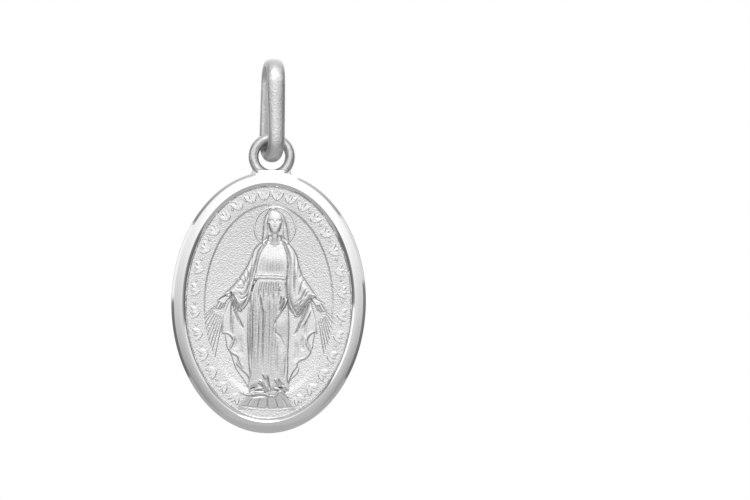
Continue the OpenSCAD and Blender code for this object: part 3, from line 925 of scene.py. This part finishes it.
figure.cover(VEIL, 0.46, 0.07, soft=0.005, line=0.1)
figure.hollow(HOOD, 0.36, 0.08)
figure.hollow(NECKLINE, 0.3, 0.12)
NECK_LINE = [(MIDDLE, 4.85), (MIDDLE, 4.4), (MIDDLE, 4.05)]
figure.mass(NECK_LINE, [0.3, 0.3, 0.42], [0.42, 0.4, 0.35], soft=0.05, power=0.25)
for side in (-1, 1):
    lock = [
        (0, HAIRLINE + 0.07), (0.33, HAIRLINE - 0.06), (0.53, EYES + 0.1),
        (0.55, NOSE - 0.05), (0.5, CHIN - 0.1), (0.5, CHIN - 0.45),
    ]
    lock = [(MIDDLE + side * x, y) for x, y in lock]
    radii, tops = [0.08, 0.1, 0.12, 0.16, 0.18, 0.12], [0.43, 0.44, 0.44, 0.43, 0.41, 0.37]
    figure.mass(lock, radii, tops, soft=0.03, power=0.4)
    for shift in (-0.04, 0.03):
        figure.fold([(x + side * shift, y) for x, y in lock], 0.018, -0.02, fade=0.1)
face = [(MIDDLE, y) for y in (HAIRLINE - 0.4, EYES - 0.12, CHIN + 0.32, CHIN + 0.28)]
radii = [FACE_HALF * share for share in (0.95, 0.93, 0.74, 0.6)]
figure.mass(face, radii, [0.475, 0.48, 0.475, 0.465], soft=0.03, power=0.14)
for side in (-1, 1):
    eye = MIDDLE + side * FACE_HALF * 0.42
    feature(eye, EYES, side, "-6,0.5 7,0.5", 0.075, -0.026, 0)
    feature(eye, EYES, side, "-3.5,-1 3.5,-1", 0.04, 0.022, 0)
    feature(eye, EYES, side, "-8,2 0,5 9,1.5", 0.016, -0.01, 0.2)
    feature(eye, NOSE, side, "3,2 2,-12", 0.12, 0.008, 0)
    feature(MIDDLE, NOSE, side, "5,2.5 5.5,1", 0.03, 0.012, 0)
figure.fold([(MIDDLE, BROW - 0.02), (MIDDLE, NOSE + 0.1)], 0.045, 0.02, 0.15)
feature(MIDDLE, NOSE, 1, "0,9 0,4", 0.055, 0.022, 0)
feature(MIDDLE, MOUTH, 1, "-11,0 0,0.4 11,0", 0.018, -0.014, 0.2)
feature(MIDDLE, MOUTH, 1, "-8,3.5 8,3.5", 0.02, 0.008, 0.2)
feature(MIDDLE, MOUTH, 1, "-6,-4.5 6,-4.5", 0.028, 0.01, 0.2)
feature(MIDDLE, CHIN, 1, "-3,10 3,10", 0.07, 0.012, 0)
print(f"head from {CHIN} to {CROWN} mm, highest point {figure.h.max():.2f} mm above the dish")

# %% [markdown]
# ## From clay to metal
# The heights go into the grid. What lies below the surface of the field isn't needed, so those
# cells are deleted, and the cut edge, which is hidden in the field, is drawn down to a floor and
# closed, because a printable piece has to be a solid. Silver darkens first in its recesses, where
# no cloth reaches, so the depth of each point below its neighbours goes along as a stain.

# %% Figure piece
harden("standing_figure", clay, figure, DISH_Z, 0.3, MEDAL_PLACE)

# %% [markdown]
# ## Halo and rays
# The halo is a thin raised ring, and from each hand a fan of fine rays falls. They are thinner
# than the clay could hold, so they are pieces of their own. The ring is a small section spun
# round the head. A ray is a slender eight-sided cone, laid down along its line and stretched up.

# %% Halo
HALO_AT = Vector((0.32, 5.06))
HALO_R, HALO_WIRE = 1.37, 0.07


def spin_ring(bm, edges, corners):
    """Spins a closed section once round the z axis."""
    bmesh.ops.spin(
        bm, geom=edges + corners, cent=(0, 0, 0), axis=(0, 0, 1), dvec=(0, 0, 0),
        angle=math.tau, steps=96, use_merge=True, use_duplicate=False,
    )
    bmesh.ops.remove_doubles(bm, verts=bm.verts, dist=0.001)


bm = bmesh.new()
section = bmesh.ops.create_circle(
    bm, segments=12, radius=HALO_WIRE,
    matrix=Matrix.Translation((HALO_R, 0, 0)) @ Matrix.Rotation(math.radians(90), 4, "X"),
)["verts"]
spin_ring(bm, list({e for v in section for e in v.link_edges}), section)
bmesh.ops.translate(bm, vec=(HALO_AT.x, HALO_AT.y, DISH_Z + 0.05), verts=bm.verts)
set_piece("halo", bm, RUBBED)

# %% Rays
RAYS = curve("""
-362,-28 -433,-93 -366,-44 -431,-114 -370,-62 -425,-145 -360,-78 -420,-180 -348,-85 -412,-225 -336,-88
-402,-260 -324,-88 -388,-292 -312,-90 -376,-328 -310,-125 -356,-372 388,-50 446,-102 386,-68 443,-136
383,-82 434,-174 378,-90 426,-212 370,-95 415,-242 360,-98 406,-280 348,-100 392,-308 338,-115 380,-340
""")
RAY_RISE = 1.8

bm = bmesh.new()
for start, tip in zip(map(Vector, RAYS[::2]), map(Vector, RAYS[1::2])):
    way = tip - start
    turn = Matrix.Rotation(math.atan2(way.y, way.x), 4, "Z") @ Matrix.Rotation(math.radians(90), 4, "Y")
    bmesh.ops.create_cone(
        bm, cap_ends=True, segments=8, radius1=0.04, radius2=0.05, depth=way.length,
        matrix=Matrix.Translation(((start + tip) / 2).to_3d()) @ turn,
    )
for v in bm.verts:
    v.co.z = DISH_Z + v.co.z * RAY_RISE
set_piece("rays", bm, RUBBED)

# %% [markdown]
# ## The border ornament
# The border carries a chain of small sprigs, each of two leaves, a narrower bud between them and
# a bead beside them. Leaf and bud come from one function: a circle pinched towards two tips and
# raised, with a bevel round its face. Copies are stamped round the oval, so each has to be light.
# The bevel gives every leaf a bright side and a dark side, which a flat one wouldn't have.

# %% Leaf and bead
LEAF_ROOT, LEAF_BEVEL, LEAF_CROWN = 0.05, 0.05, 0.03


def leaf_mesh(length, width, rise):
    """A pointed leaf along y with a steep edge and a bevelled, raised face."""
    bm = bmesh.new()
    verts = bmesh.ops.create_circle(bm, cap_ends=True, segments=12, radius=1)["verts"]
    for v in verts:
        v.co.x *= width / 2 * (1 - 0.5 * abs(v.co.y) ** 3)
        v.co.y *= length / 2
    face = bm.faces[:][0]
    face.normal_update()
    top = bmesh.ops.extrude_face_region(bm, geom=[face])["geom"]
    cap = next(g for g in top if isinstance(g, bmesh.types.BMFace))
    bmesh.ops.translate(bm, vec=(0, 0, rise + LEAF_ROOT), verts=cap.verts)
    bmesh.ops.inset_region(bm, faces=[cap], thickness=LEAF_BEVEL, depth=0, use_even_offset=True)
    bmesh.ops.translate(bm, vec=(0, 0, LEAF_CROWN), verts=cap.verts)
    bmesh.ops.translate(bm, vec=(0, 0, -LEAF_ROOT), verts=bm.verts)
    bmesh.ops.recalc_face_normals(bm, faces=bm.faces)
    return mesh_of("leaf_stamp", bm)


def stamp(bm, mesh, matrix):
    """Adds a copy of a small mesh, moved by a matrix."""
    copy = mesh.copy()
    copy.transform(matrix)
    bm.from_mesh(copy)
    bpy.data.meshes.remove(copy)


leaf = leaf_mesh(0.76, 0.31, 0.1)
bud = leaf_mesh(0.6, 0.24, 0.1)
print("faces in a leaf:", len(leaf.polygons))

# %% Border
SPRIGS = 32
BARE_BELOW = -0.37
LEAF_SPREAD, LEAF_ASIDE, BUD_UP = math.radians(32), 0.2, 0.06
BEAD_R, BEAD_ASIDE = 0.11, 0.62


def on_oval(angle, inset):
    """A point at an angle of the oval, moved inwards, and the direction outwards there."""
    a, b = OVAL / 2
    outward = Vector((b * math.cos(angle), a * math.sin(angle))).normalized()
    return Vector((a * math.cos(angle), b * math.sin(angle))) - inset * outward, outward


def shifted(x, y):
    return Matrix.Translation((x, y, 0))


bm = bmesh.new()
for k in range(SPRIGS):
    place, outward = on_oval(math.radians(90 + (k + 0.5) * 360 / SPRIGS), RIM_W + 0.55)
    if place.y < BARE_BELOW * OVAL.y:
        continue
    turn = Matrix.Rotation(outward.angle_signed(Vector((0, 1))), 4, "Z")
    here = Matrix.Translation((place.x, place.y, BORDER_Z - 0.01)) @ turn
    for side in (-1, 1):
        stamp(bm, leaf, here @ shifted(side * LEAF_ASIDE, 0) @ Matrix.Rotation(-side * LEAF_SPREAD, 4, "Z"))
    stamp(bm, bud, here @ shifted(0, BUD_UP))
    bmesh.ops.create_uvsphere(
        bm, u_segments=10, v_segments=6, radius=BEAD_R, matrix=here @ shifted(BEAD_ASIDE, 0)
    )
set_piece("border_ornament", bm, RUBBED, sharp=25)

# %% [markdown]
# ## The eyelet
# The eyelet is cast in one with the medal and left matt, with a thick, rounded front and a flat
# back. Its section is spun round the hole, a neck joins it to the oval, and a voxel remesh melts
# the two into one skin that can be smoothed like cast metal.

# %% Eyelet
EYELET_R, HOLE_R = 1.575, 0.9
EYELET_FRONT, EYELET_BACK = 0.4, BACK_Z + 0.01
SECTION = [
    (0, 0.03), (0.06, 0), (0.92, 0), (1, 0.06), (1, 0.5), (0.94, 0.74),
    (0.8, 0.91), (0.55, 1), (0.32, 0.96), (0.12, 0.83), (0, 0.62),
]
NECK, NECK_FRONT = [(-0.95, 1.3), (-1.15, 1.33), (-1.3, 1.4), (-1.45, 1.62), (-1.9, 1.7)], 0.22
VOXEL, SMOOTHINGS = 0.04, 4
# widths and strength of the painted shade round the hole and over the pad
HOLE_SHADE_W, PAD_SHADE_W, DARKEST_SHADE = 0.07, 0.05, 1.2

bm = bmesh.new()
corners = [
    bm.verts.new((HOLE_R + share * (EYELET_R - HOLE_R), 0, EYELET_BACK + up * (EYELET_FRONT - BACK_Z - 0.01)))
    for share, up in SECTION
]
spin_ring(bm, [bm.edges.new((corners[i - 1], corners[i])) for i in range(len(corners))], corners)
block = bmesh.ops.create_cube(bm, size=1)["verts"]
bmesh.ops.subdivide_edges(bm, edges=uprights({e for v in block for e in v.link_edges}), cuts=3)
for v in [v for v in bm.verts if v.co.xy.length < HOLE_R - 0.05]:
    y, half = NECK[round((0.5 - v.co.y) * 4)]
    v.co = (math.copysign(half, v.co.x), y, NECK_FRONT if v.co.z > 0 else EYELET_BACK)
bmesh.ops.recalc_face_normals(bm, faces=bm.faces)
blank = add_object("eyelet_rough", mesh_of("eyelet_rough", bm))
melt = blank.modifiers.new("melt", "REMESH")
melt.mode = "VOXEL"
melt.voxel_size = VOXEL
bm = bmesh.new()
bm.from_object(blank, bpy.context.evaluated_depsgraph_get())
bpy.data.objects.remove(blank)
for _ in range(SMOOTHINGS):
    bmesh.ops.smooth_vert(bm, verts=bm.verts, factor=0.5, use_axis_x=True, use_axis_y=True, use_axis_z=True)
# painted shade: the metal goes dark round the hole and in a thin line where the neck meets the pad
tarnish_and_shade = bm.verts.layers.float.new("tarnish_and_shade")
for v in bm.verts:
    hole_shade = 1.5 - (v.co.xy.length - HOLE_R) / HOLE_SHADE_W
    over_pad = v.co.z > 0 and abs(v.co.x) < PAD_HALF
    pad_shade = 1.2 - abs(v.co.y - (PAD_TOP + 0.06 - EYELET_RISE)) / PAD_SHADE_W if over_pad else 0
    v[tarnish_and_shade] = clamp(max(hole_shade, pad_shade), DARKEST_SHADE)
set_piece("eyelet", bm, CAST, sharp=60, place=EYELET_PLACE)

# %% [markdown]
# ## The back
# Behind, the medal is one flat matt sheet, held by the rim's narrow bevel.

# %% Back sheet
bm = oval_drum(BACK_Z, 0.1, 0.12)[0]
set_piece("back_sheet", bm, BLASTED)

# %% [markdown]
# ## The devices on the back
# The back is struck with a second die: twelve stars round a cross over a plain lozenge, two hearts
# with flames and a small framed panel, which is left bare. They are modelled with the same relief
# tool, as read from behind. The bars are ribbed like cord, so `ribbed` waves along its path.

# %% Back relief
FACE_BACK = Matrix.Rotation(math.radians(180), 4, "Y")
BACK_FACE = MEDAL_PLACE @ FACE_BACK @ Matrix.Translation((0, 0, -BACK_Z))
SIDE_STARS = ((2.45, 4.75), (3.75, 2.3), (4.25, -0.45), (3.75, -3.25), (2.5, -5.4))
STARS = [(0, 6.05), (0, -7.25)] + [(side * x, y) for side in (-1, 1) for x, y in SIDE_STARS]
BARS = [
    ((0.05, 4.62), (0.05, 0.02), 0.21), ((-1.25, 3.38), (1.4, 3.38), 0.21), ((-2.35, 0.1), (2.45, 0.1), 0.18),
    ((-1.6, 0.1), (0.05, 1.85), 0.2), ((1.7, 0.1), (0.05, 1.85), 0.2),
    ((-1.6, 0.1), (0.05, -1.5), 0.2), ((1.7, 0.1), (0.05, -1.5), 0.2),
]
ENDS = [
    (0.05, 4.7, 0.3), (-1.4, 3.38, 0.28), (1.55, 3.38, 0.28), (-2.5, 0.1, 0.28), (2.6, 0.1, 0.28),
    (-1.65, 0.1, 0.3), (1.75, 0.1, 0.3), (0.05, -1.52, 0.3),
]
HEARTS = [(-1.4, -3.4), (1.35, -3.4)]
HEART_SCALE, FLAME, MIDDLE_FLAME = 0.046, 1.28, 1.4
BACK_SOFT = 0.004


def ribbed(relief, start, end, half, top, pitch=0.19):
    """A bar with a rounded section and ribs across it."""
    length = math.dist(start, end)
    d, share = relief.nearest([start, end], half)
    wave = 0.72 + 0.28 * np.cos(share * length / pitch * math.tau)
    profile = np.clip(1 - (d / half) ** 2, 0, 1) ** 0.35
    relief.blend(np.where(d < half, top * profile * wave, np.maximum(BURIED, 4 * (half - d))), BACK_SOFT)


def heart_point(t):
    """A point of the heart curve, at an angle."""
    up = 13 * math.cos(t) - 5 * math.cos(2 * t) - 2 * math.cos(3 * t) - math.cos(4 * t)
    return HEART_SCALE * 16 * math.sin(t) ** 3, HEART_SCALE * up


def toward(x, y, degrees, reach):
    """The point as far as reach from another, in a direction."""
    return x + reach * math.cos(math.radians(degrees)), y + reach * math.sin(math.radians(degrees))


back_clay, back = clay_plate((-5.0, -8.0), (5.0, 6.8), 0.032)
for x, y in STARS:
    for k in range(6):
        point = [(x, y), toward(x, y, 90 + 60 * k, 0.6)]
        back.mass(point, [0.17, 0.05], [0.14, 0.05], soft=0.005, power=0.8)
for start, end, half in BARS:
    ribbed(back, start, end, half, 0.12)
for x, y, size in ENDS:
    back.cover([(x - size, y), (x, y - size), (x + size, y), (x, y + size)], 0.13, 0.2, soft=0.005)
HEART = [heart_point(t) for t in np.linspace(0, math.tau, 20, endpoint=False)]
for x, y in HEARTS:
    back.cover([(x + hx, y + hy) for hx, hy in HEART], 0.14, 0.4, soft=0.005)
    for k in (-2, -1, 0, 1, 2):
        flame = [(x + 0.09 * k, y + 0.62), toward(x, y, 90 - 13 * k, FLAME if k else MIDDLE_FLAME)]
        back.mass(flame, [0.1, 0.04], [0.12, 0.05], soft=0.005)
for k in range(7):
    thorn = (-2.05 + 0.21 * k, -3.3 - 0.12 * math.sin(k / 6 * math.pi))
    back.mass([thorn, thorn], [0.12, 0.12], [0.16, 0.16], soft=BACK_SOFT)
SWORD, HILT = curve("72,-375 135,-342 215,-300"), curve("188,-298 200,-322")
back.mass(SWORD, [0.07, 0.08, 0.08], [0.15, 0.16, 0.14], soft=BACK_SOFT)
back.mass(HILT, [0.06, 0.06], [0.14, 0.14], soft=BACK_SOFT)
angles = np.linspace(0, math.tau, 24, endpoint=False)
PANEL = [(1.98 * math.cos(t), -5.65 + 0.92 * math.sin(t)) for t in angles]
back.mass(PANEL + PANEL[:1], [0.1, 0.1], [0.11, 0.11], soft=BACK_SOFT)
harden("back_devices", back_clay, back, 0.0, -0.2, BACK_FACE)

# %% [markdown]
# ## The bail
# The bail is a flat wire, crowned on the outside, nearly flat and a little darker at the inside,
# bent into a closed loop that widens to the top. One section is spun round the top bend, another
# round the bottom bend, and both limbs are bridged between them. The finished band is then twisted
# a little on its way down, and its lowest part is darkened with painted shadow, mostly behind,
# where it lies in the eyelet's hole.

# %% Bail
BAIL_H = 7.0
TOP_W, LOW_W = 1.2, 1.1
TOP_T, LOW_T = 0.6, 0.78
TOP_BEND, LOW_BEND = 1.3, 1.12
SIDE_POWER, CROWN_POWER, INNER_POWER = 0.85, 1.25, 0.35
# how much the inside of the band darkens, and the painted shadow on the lowest part, behind and in front
INNER_DARKENING, FAR_SHADOW, NEAR_SHADOW = 0.45, 1.8, 0.4
SHADOW_FROM, SHADOW_OVER, FAR_SIDE = 0.5, 0.9, 0.35
bend_gap = BAIL_H - TOP_T / 2 - TOP_BEND - LOW_BEND - LOW_T / 2
lean = math.asin((TOP_BEND - LOW_BEND) / bend_gap)
TWIST = math.radians(7.5)
TOP_CENTRE = Vector((0, 0, TOP_T / 2 - TOP_BEND))
LOW_CENTRE = TOP_CENTRE - Vector((0, 0, bend_gap))


def wire_section(bm, width, thickness, centre, radius, turn):
    """A loop of edges for the wire's section, crowned outside and nearly flat inside, set on a
    bend of a radius at a turn from the top."""
    tarnish_and_shade = bm.verts.layers.float.get("tarnish_and_shade") or bm.verts.layers.float.new("tarnish_and_shade")
    verts = bmesh.ops.create_circle(bm, segments=28, radius=0.5)["verts"]
    for v in verts:
        round_x, round_y = 2 * v.co.x, 2 * v.co.y
        v.co.x = 0.5 * width * math.copysign(abs(round_x) ** SIDE_POWER, round_x)
        rise = 0.5 * abs(round_y) ** (CROWN_POWER if round_y > 0 else INNER_POWER)
        v.co.y, v.co.z = 0, thickness * math.copysign(rise, round_y)
        # the inside of the band is made a little darker
        v[tarnish_and_shade] = INNER_DARKENING if v.co.z < 0.1 * thickness and abs(v.co.x) < 0.47 * width else 0.0
    bend = Matrix.Translation(centre) @ Matrix.Rotation(turn, 4, "X") @ Matrix.Translation((0, 0, radius))
    bmesh.ops.transform(bm, matrix=bend, verts=verts)
    return verts, list({e for v in verts for e in v.link_edges})


def bend_wire(bm, verts, edges, centre, turn, steps):
    """Spins a section about the bail's sideways axis and gives the loop at its far end."""
    spun = bmesh.ops.spin(
        bm, geom=edges + verts, cent=centre, axis=(1, 0, 0), dvec=(0, 0, 0),
        angle=turn, steps=steps, use_duplicate=False,
    )["geom_last"]
    return [g for g in spun if isinstance(g, bmesh.types.BMEdge)]


bm = bmesh.new()
side = math.radians(90) + lean
verts, edges = wire_section(bm, TOP_W, TOP_T, TOP_CENTRE, TOP_BEND, side)
over_end = bend_wire(bm, verts, edges, TOP_CENTRE, -2 * side, 40)
low_verts, low_edges = wire_section(bm, LOW_W, LOW_T, LOW_CENTRE, LOW_BEND, -side)
under_end = bend_wire(bm, low_verts, low_edges, LOW_CENTRE, -2 * (math.pi - side), 36)
darkening_and_shadow = bm.verts.layers.float["tarnish_and_shade"]
limbs = bmesh.ops.bridge_loops(bm, edges=over_end + low_edges)["edges"]
limbs += bmesh.ops.bridge_loops(bm, edges=under_end + edges)["edges"]
bmesh.ops.subdivide_edges(bm, edges=limbs, cuts=15, use_grid_fill=True)
for v in bm.verts:
    down = clamp((TOP_CENTRE.z - v.co.z) / bend_gap)
    v.co.rotate(Matrix.Rotation(TWIST * down, 3, "Z"))
    # painted shadow: the lowest part is darkened, strongly behind where it lies in the eyelet's hole, lightly
    # in front
    under = clamp((LOW_CENTRE.z + SHADOW_FROM - v.co.z) / SHADOW_OVER)
    v[darkening_and_shadow] = max(v[darkening_and_shadow], under * (FAR_SHADOW if v.co.y > FAR_SIDE else NEAR_SHADOW))
set_piece("bail_wire", bm, DRAWN, 50, BAIL_PLACE, body="bail", node="bail")

# %% [markdown]
# ## The end

# %% End
print("the medal is dressed")
